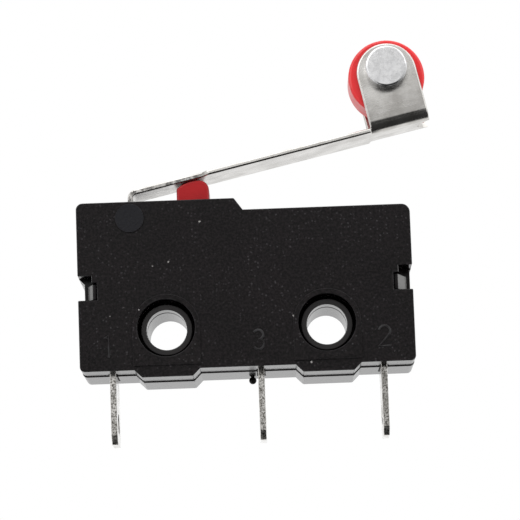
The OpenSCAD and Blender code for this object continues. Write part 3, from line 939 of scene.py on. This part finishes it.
@dataclass
class Case:
    """The two halves of the black case with the raised terminal digits."""

    edge: EdgeBreak = EdgeBreak(0.1, 2)
    plain_share: float = 0.6
    seam_reach: float = 0.02
    skin: float = 0.7
    front_skin: float = 0.9
    face_y: float = -6.32
    hole_pitch: float = 9.5
    tube_reach: float = 2.1
    hook_z: float = 2.52
    ramp_x: Pair = (9.0, 9.75)
    ramp_side: float = 0.8
    ramp_front: float = -0.1
    digit_stroke: float = 0.14
    digit_facets: int = 4
    digit_sink: float = 0.005
    # Lightens the digits all over: wear on raised lettering, and a painted highlight on their strokes.
    digit_wear_and_highlight: float = 2.2
    digits: tuple[DigitPlace, ...] = (
        DigitPlace(Digit.ONE, x=-8.16, z=-0.99, height=1.45),
        DigitPlace(Digit.THREE, x=0.66, z=-0.89, height=1.29),
        DigitPlace(Digit.TWO, x=8.1, z=-0.93, height=1.34),
    )

    def build(self, finish: CasePlastic) -> None:
        """Builds and dresses both halves and the digits.

        Args:
            finish: Finish of the case.
        """
        black = finish.material()
        cuts = [
            (Axis.X, -self.hole_pitch / 2), (Axis.X, self.hole_pitch / 2),
            (Axis.Z, JOINT_PLACES["lever_pivot"].z / MM), (Axis.Z, self.hook_z), (Axis.Y, MIDDLE_Y),
        ]
        for half in ("base", "cover"):
            mesh = SHOP.rounded(half + "_moulding", SHOP.welded(half, cuts), self.edge, self.share)
            # Marks the snap-hook ramps for their painted reflection.
            SHOP.mark(mesh, Mark.HOOK_SCUFF, self.on_ramp)
            SHOP.install(mesh, black, Body.CASE, Slot.CASE_PLASTIC, half)
        for place in self.digits:
            mesh = self.ridge(place)
            # The digits are lightened all over, partly as wear and partly as a painted highlight.
            SHOP.mark(mesh, Mark.EDGE_WEAR, lambda *_: self.digit_wear_and_highlight)
            SHOP.install(mesh, black, Body.CASE, Slot.CASE_PLASTIC)

    def share(self, middle: Vector) -> float:
        """Gives the outside and the mounting holes a slight rounding, and the seam a wider one.

        Args:
            middle: Middle of the edge, in millimetres.

        Returns:
            The share of the full width, which is 0 inside the case.
        """
        low, high = box_mm("base")
        inside = (
            low.x + self.skin < middle.x < high.x - self.skin
            and low.z + self.skin < middle.z < high.z - self.skin
            and self.face_y + self.front_skin < middle.y < high.y - self.skin
        )
        side = abs(abs(middle.x) - self.hole_pitch / 2)
        if inside and math.hypot(side, middle.z) >= self.tube_reach:
            return 0.0
        return 1.0 if abs(middle.y - SEAM_Y) < self.seam_reach else self.plain_share

    def on_ramp(self, middle: Vector, normal: Vector) -> bool:
        """Tells whether a face is the ramp of a snap hook.

        Args:
            middle: Middle of the face, in millimetres.
            normal: Its normal.

        Returns:
            True on a ramp.
        """
        low, high = self.ramp_x
        near = low < abs(middle.x) < high and abs(middle.z - self.hook_z) < self.skin
        sloping = abs(normal.x) > self.ramp_side and normal.y < self.ramp_front
        return near and sloping and middle.y < SEAM_Y

    def ridge(self, place: DigitPlace) -> Mesh:
        """Makes one digit as a raised round ridge on the cover.

        Args:
            place: Which digit, where it is and how high it is.

        Returns:
            The mesh, in place.
        """
        name = "digit_" + place.digit.name.lower()
        curve = bpy.data.curves.new(name, "CURVE")
        curve.dimensions = "3D"
        curve.bevel_depth = self.digit_stroke / 2 * MM
        curve.bevel_resolution = self.digit_facets
        curve.use_fill_caps = True
        path = place.digit.path()
        stroke = curve.splines.new("POLY")
        stroke.points.add(len(path) - 1)
        reach = place.height - self.digit_stroke
        y = self.face_y + self.digit_sink
        for point, (across, up) in zip(stroke.points, path):
            point.co = ((place.x + across * reach) * MM, y * MM, (place.z + up * reach) * MM, 1.0)
        mesh = take_mesh(name, hang(name + "_path", curve))
        mesh.materials.clear()
        bm = bmesh.new()
        bm.from_mesh(mesh)
        SHOP.close(bm)
        bm.to_mesh(mesh)
        bm.free()
        mesh.shade_smooth()
        mesh.set_sharp_from_angle(angle=SHOP.SMOOTH)
        return mesh


@dataclass
class LeverArm:
    """The folded steel lever, its hinge pin and the rivet of the roller."""

    edge: EdgeBreak = EdgeBreak(0.1, 3, room=0.42)
    tail_end: float = -2.2
    tail_share: float = 0.65
    cut_front: float = -0.3
    cut_up: float = 0.2
    bend_end: float = -4.4
    bend_under: float = -0.5
    # Share of the darker mottle on the underside at the bend.
    bend_darkening: float = 0.4
    notch_x: float = 10.4
    notch_w: float = 2.24
    rivet_edge: EdgeBreak = EdgeBreak(0.13, 3, room=0.9)
    rivet_d: float = 1.4
    tail_d: float = 2.1
    pin_edge: EdgeBreak = EdgeBreak(0.08, 2)
    steps: int = 96

    def build(self, sheet_steel: RolledSteel, turned_steel: PlatedMetal) -> None:
        """Builds and dresses the lever, the rivet and the pin.

        Args:
            sheet_steel: Finish of the lever.
            turned_steel: Finish of the rivet and the pin.
        """
        places = (JOINT_PLACES["roller_spin"].x / MM, self.tail_end, self.bend_end)
        cuts = [(Axis.X, place) for place in places]
        mesh = SHOP.rounded("lever_sheet", SHOP.welded("lever", cuts), self.edge, self.share)
        SHOP.mark(mesh, Mark.CUT_EDGE, self.tail_darkening)
        SHOP.install(mesh, sheet_steel.material(), Body.LEVER, Slot.LEVER_STEEL, "lever")
        bright = turned_steel.material()
        mesh = SHOP.rounded("rivet_turned", self.rivet(), self.rivet_edge)
        SHOP.install(mesh, bright, Body.LEVER, Slot.PIN_STEEL, "roller_rivet")
        mesh = SHOP.rounded("pin_turned", self.pin(), self.pin_edge)
        SHOP.install(mesh, bright, Body.CASE, Slot.PIN_STEEL, "hinge_pin")

    def tail_darkening(self, middle: Vector, normal: Vector) -> float:
        """Tells how dark a face of the tail is mottled.

        Args:
            middle: Middle of the face, in millimetres.
            normal: Its normal.

        Returns:
            1 low on the sheared front edge, a smaller share for a darker mottle on the underside at the bend
            by the hinge, and 0 elsewhere.
        """
        if middle.x < self.tail_end and normal.y < self.cut_front and normal.z < self.cut_up:
            return 1.0
        return self.bend_darkening if middle.x < self.bend_end and normal.z < self.bend_under else 0.0

    def share(self, middle: Vector) -> float:
        """Gives the tight bends of the tail a narrower rounding than the rest, and the end notch none.

        Args:
            middle: Middle of the edge, in millimetres.

        Returns:
            The share of the full width.
        """
        if middle.x > self.notch_x and abs(middle.y - MIDDLE_Y) < self.notch_w / 2:
            return 0.0
        return self.tail_share if middle.x < self.tail_end else 1.0

    def rivet(self) -> BMesh:
        """Turns the rivet, with its head in front and its closed tail behind.

        Returns:
            The turned solid.
        """
        low, high = box_mm("roller_rivet")
        front, back = (corner.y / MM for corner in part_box("lever"))
        head = (high.z - low.z) / 2
        profile = [
            (0.0, low.y), (head, low.y), (head, front), (self.rivet_d / 2, front),
            (self.rivet_d / 2, back), (self.tail_d / 2, back), (self.tail_d / 2, high.y), (0.0, high.y),
        ]
        return SHOP.turned(profile, (low + high) / 2 * MM, self.steps)

    def pin(self) -> BMesh:
        """Turns the plain hinge pin.

        Returns:
            The turned solid.
        """
        low, high = box_mm("hinge_pin")
        radius = (high.z - low.z) / 2
        profile = [(0.0, low.y), (radius, low.y), (radius, high.y), (0.0, high.y)]
        return SHOP.turned(profile, (low + high) / 2 * MM, self.steps)


@dataclass
class Roller:
    """The red roller on its rivet."""

    bore_d: float = 2.22
    edge: EdgeBreak = EdgeBreak(0.16, 4)
    steps: int = 128

    def build(self, finish: RedPlastic) -> None:
        """Turns and dresses the roller.

        Args:
            finish: Finish of the roller.
        """
        low, high = box_mm("roller")
        bore, rim = self.bore_d / 2, (high.z - low.z) / 2
        profile = [(bore, low.y), (rim, low.y), (rim, high.y), (bore, high.y)]
        bm = SHOP.turned(profile, (low + high) / 2 * MM, self.steps)
        mesh = SHOP.rounded("roller_turned", bm, self.edge)
        SHOP.install(mesh, finish.material(), Body.ROLLER, Slot.ROLLER_PLASTIC, "roller")


@dataclass
class Plunger:
    """The red plunger under the lever."""

    edge: EdgeBreak = EdgeBreak(0.12, 3)

    def build(self, finish: RedPlastic) -> None:
        """Builds and dresses the plunger.

        Args:
            finish: Finish of the plunger.
        """
        mesh = SHOP.rounded("plunger_moulding", SHOP.welded("plunger", []), self.edge)
        SHOP.install(mesh, finish.material(), Body.PLUNGER, Slot.PLUNGER_PLASTIC, "plunger")


@dataclass
class Terminals:
    """The three plated solder terminals."""

    edge: EdgeBreak = EdgeBreak(0.05, 2)
    cut_side: float = 0.5
    nodes: tuple[str, ...] = ("common_terminal", "normally_open_terminal", "normally_closed_terminal")

    def build(self, finish: PlatedMetal) -> None:
        """Builds and dresses the terminals.

        Args:
            finish: Finish of the terminals.
        """
        tin = finish.material()
        for node in self.nodes:
            strip = SHOP.welded(node, [(Axis.Y, MIDDLE_Y)])
            mesh = SHOP.rounded(node + "_strip", strip, self.edge)
            SHOP.mark(mesh, Mark.CUT_EDGE, lambda _, normal: abs(normal.y) > self.cut_side)
            SHOP.install(mesh, tin, Body.CASE, Slot.TERMINAL_METAL, node)


@dataclass
class Contacts:
    """The snap blade and the contact rivets inside the case, which keep their solids."""

    blade_nodes: tuple[str, ...] = ("snap_blade",)
    contact_nodes: tuple[str, ...] = ("moving_contact", "normally_open_contact", "normally_closed_contact")

    def build(self, copper: PlatedMetal, silver: PlatedMetal) -> None:
        """Dresses the solids.

        Args:
            copper: Finish of the blade.
            silver: Finish of the contacts.
        """
        for nodes, finish in ((self.blade_nodes, copper), (self.contact_nodes, silver)):
            material = finish.material()
            for node in nodes:
                frame["nodes"][node].material_slots[0].material = material
                LOG.info("%s: solid kept, dressed in %s", node, finish.name)


@dataclass(frozen=True)
class Lamp:
    """A soft square lamp: where it hangs, the side of its square in millimetres, and its power in watts."""

    name: str
    place: Point
    side: float
    power: float


@dataclass
class Studio:
    """Pale floor, white surroundings, soft lamps and the camera of the photograph."""

    floor_z: float = -150.0
    floor_reach: float = 900.0
    floor_sides: int = 96
    paper: Color = (0.9, 0.9, 0.9)
    paper_rough: float = 0.9
    ambient: float = 0.5
    front_level: float = 0.85
    front_span: Pair = (-0.9, 0.1)
    top_level: float = 0.6
    top_span: Pair = (0.3, 0.9)
    dark_way: Point = (0.47, -0.6, -0.65)
    dark_edge: Pair = (0.5, 0.64)
    dark_level: float = 0.04
    lamps: tuple[Lamp, ...] = (
        Lamp("key", place=(-160.0, -260.0, 260.0), side=460.0, power=0.9),
        Lamp("top", place=(60.0, 40.0, 320.0), side=480.0, power=0.8),
        Lamp("fill", place=(240.0, -200.0, 60.0), side=380.0, power=0.35),
    )
    aim: Point = (0.0, MIDDLE_Y, 4.0)
    lens: float = 200.0
    clip: Pair = (0.005, 10.0)
    yaw: float = -0.26
    pitch: float = 8.73
    roll: float = 2.055
    anchor: Point = (0.0, -6.4, 0.0)
    anchor_px: Pair = (246.6, 324.66)
    px_per_mm: float = 16.98

    def build(self) -> None:
        """Sets up the world, floor, lamps, camera and view."""
        scene = bpy.context.scene
        scene.view_settings.view_transform = "Standard"
        self.surround(scene)
        self.floor()
        for lamp in self.lamps:
            self.light(lamp)
        scene.camera = self.camera()

    def surround(self, scene: bpy.types.Scene) -> None:
        """Makes the world white to the camera and softly graded in reflections.

        Args:
            scene: The scene that gets the world.
        """
        world = bpy.data.worlds.new("studio")
        scene.world = world
        world.use_nodes = True
        world.node_tree.nodes.clear()
        sheet = NodeSheet(world.node_tree)
        way = sheet.add("ShaderNodeTexCoord").outputs["Generated"]
        axes = sheet.add("ShaderNodeSeparateXYZ", {0: way}).outputs
        front = sheet.ramp(axes[1], *self.front_span, start=self.front_level)
        above = sheet.ramp(axes[2], *self.top_span, 1.0, self.top_level)
        ways = {0: way, 1: self.dark_way}
        toward = sheet.add("ShaderNodeVectorMath", ways, operation="DOT_PRODUCT").outputs[1]
        below = sheet.ramp(toward, *self.dark_edge, 1.0, self.dark_level)
        shown = sheet.math("MULTIPLY", sheet.math("MULTIPLY", front, above), below)
        path = sheet.add("ShaderNodeLightPath").outputs
        white = sheet.math("MAXIMUM", path["Is Camera Ray"], path["Is Transmission Ray"])
        level = sheet.mix(path["Is Glossy Ray"], (self.ambient,) * 3, shown)
        level = sheet.mix(white, level, (1.0, 1.0, 1.0))
        back = sheet.add("ShaderNodeBackground", {"Color": level, "Strength": 1.0})
        sheet.add("ShaderNodeOutputWorld", {"Surface": back.outputs[0]})

    def floor(self) -> None:
        """Lays the pale floor."""
        bm = bmesh.new()
        reach = self.floor_reach * MM
        bmesh.ops.create_circle(bm, cap_ends=True, segments=self.floor_sides, radius=reach)
        bmesh.ops.translate(bm, verts=bm.verts, vec=(0.0, 0.0, self.floor_z * MM))
        mesh = bpy.data.meshes.new("studio_floor")
        bm.to_mesh(mesh)
        bm.free()
        material, sheet, shader = start_material("floor_paper", metallic=0.0)
        sheet.feed(shader, {"Base Color": (*self.paper, 1.0), "Roughness": self.paper_rough})
        mesh.materials.append(material)
        floor = hang("studio_floor", mesh)
        floor.visible_glossy = False

    def light(self, lamp: Lamp) -> None:
        """Hangs one lamp, which faces the switch.

        Args:
            lamp: The lamp.
        """
        light = bpy.data.lights.new(lamp.name, "AREA")
        light.shape = "SQUARE"
        light.size = lamp.side * MM
        light.energy = lamp.power
        hung = hang(lamp.name, light)
        hung.location = Vector(lamp.place) * MM
        hung.rotation_euler = (Vector(self.aim) - Vector(lamp.place)).to_track_quat("-Z", "Y").to_euler()

    def camera(self) -> Object:
        """Sets the camera so that the anchor point falls on its pixel at the right scale.

        Returns:
            The camera.
        """
        lens = bpy.data.cameras.new("photo_camera")
        lens.lens, lens.sensor_width = self.lens, SENSOR
        lens.clip_start, lens.clip_end = self.clip
        turn = (
            Matrix.Rotation(math.radians(-self.yaw), 3, "Z")
            @ Matrix.Rotation(math.radians(90.0 + self.pitch), 3, "X")
            @ Matrix.Rotation(math.radians(-self.roll), 3, "Z")
        )
        focal = self.lens / SENSOR * PICTURE
        depth = focal / self.px_per_mm
        across = (self.anchor_px[0] - PICTURE / 2) / focal * depth
        up = (PICTURE / 2 - self.anchor_px[1]) / focal * depth
        camera = hang("photo_camera", lens)
        camera.matrix_world = turn.to_4x4()
        camera.location = (Vector(self.anchor) - turn @ Vector((across, up, -depth))) * MM
        return camera


LEVER_STEEL = RolledSteel(
    name="lever_steel", dark=(0.46, 0.445, 0.42), light=(0.7, 0.685, 0.66), edge=(0.74, 0.72, 0.69),
    sheared=(0.13, 0.125, 0.12), rough=(0.16, 0.28), slope=12.5,
)
PIN_STEEL = PlatedMetal(
    name="pin_steel", dull=(0.55, 0.55, 0.555), bright=(0.6, 0.6, 0.605), spot=(0.5, 0.5, 0.5),
    edge=(0.8, 0.8, 0.8), face=(0.8, 0.8, 0.805), rough=(0.26, 0.14), clouds=2200.0,
)
ROLLER_RED = RedPlastic(
    name="roller_red", deep=(0.72, 0.016, 0.02), bright=(0.84, 0.026, 0.03), worn=(0.8, 0.12, 0.12),
    gloss=0.4,
)
PLUNGER_RED = RedPlastic(
    name="plunger_red", deep=(0.36, 0.008, 0.011), bright=(0.45, 0.012, 0.015), worn=(0.5, 0.07, 0.07),
    gloss=0.2,
)
TIN_PLATE = PlatedMetal(
    name="tin_plate", dull=(0.42, 0.41, 0.385), bright=(0.74, 0.725, 0.695), spot=(0.12, 0.113, 0.1),
    edge=(0.55, 0.53, 0.5), face=(0.95, 0.945, 0.935), clouds=2200.0,
)
COPPER = PlatedMetal(
    name="copper_spring", dull=(0.5, 0.27, 0.13), bright=(0.68, 0.4, 0.22), spot=(0.36, 0.18, 0.09),
    edge=(0.75, 0.48, 0.3), face=(0.7, 0.42, 0.24),
)
SILVER = PlatedMetal(
    name="silver_contact", dull=(0.6, 0.6, 0.61), bright=(0.8, 0.8, 0.81), spot=(0.45, 0.44, 0.43),
    edge=(0.85, 0.85, 0.86), face=(0.82, 0.82, 0.83),
)


def write_sizes() -> None:
    """Updates the view layer."""
    bpy.context.view_layer.update()


def main() -> None:
    """Builds the studio and every part of the switch in order."""
    logging.basicConfig(level=logging.INFO, format="%(name)s %(message)s")
    Studio().build()
    Case().build(CasePlastic())
    LeverArm().build(LEVER_STEEL, PIN_STEEL)
    Roller().build(ROLLER_RED)
    Plunger().build(PLUNGER_RED)
    Terminals().build(TIN_PLATE)
    Contacts().build(COPPER, SILVER)
    write_sizes()


if __name__ == "__main__":
    main()
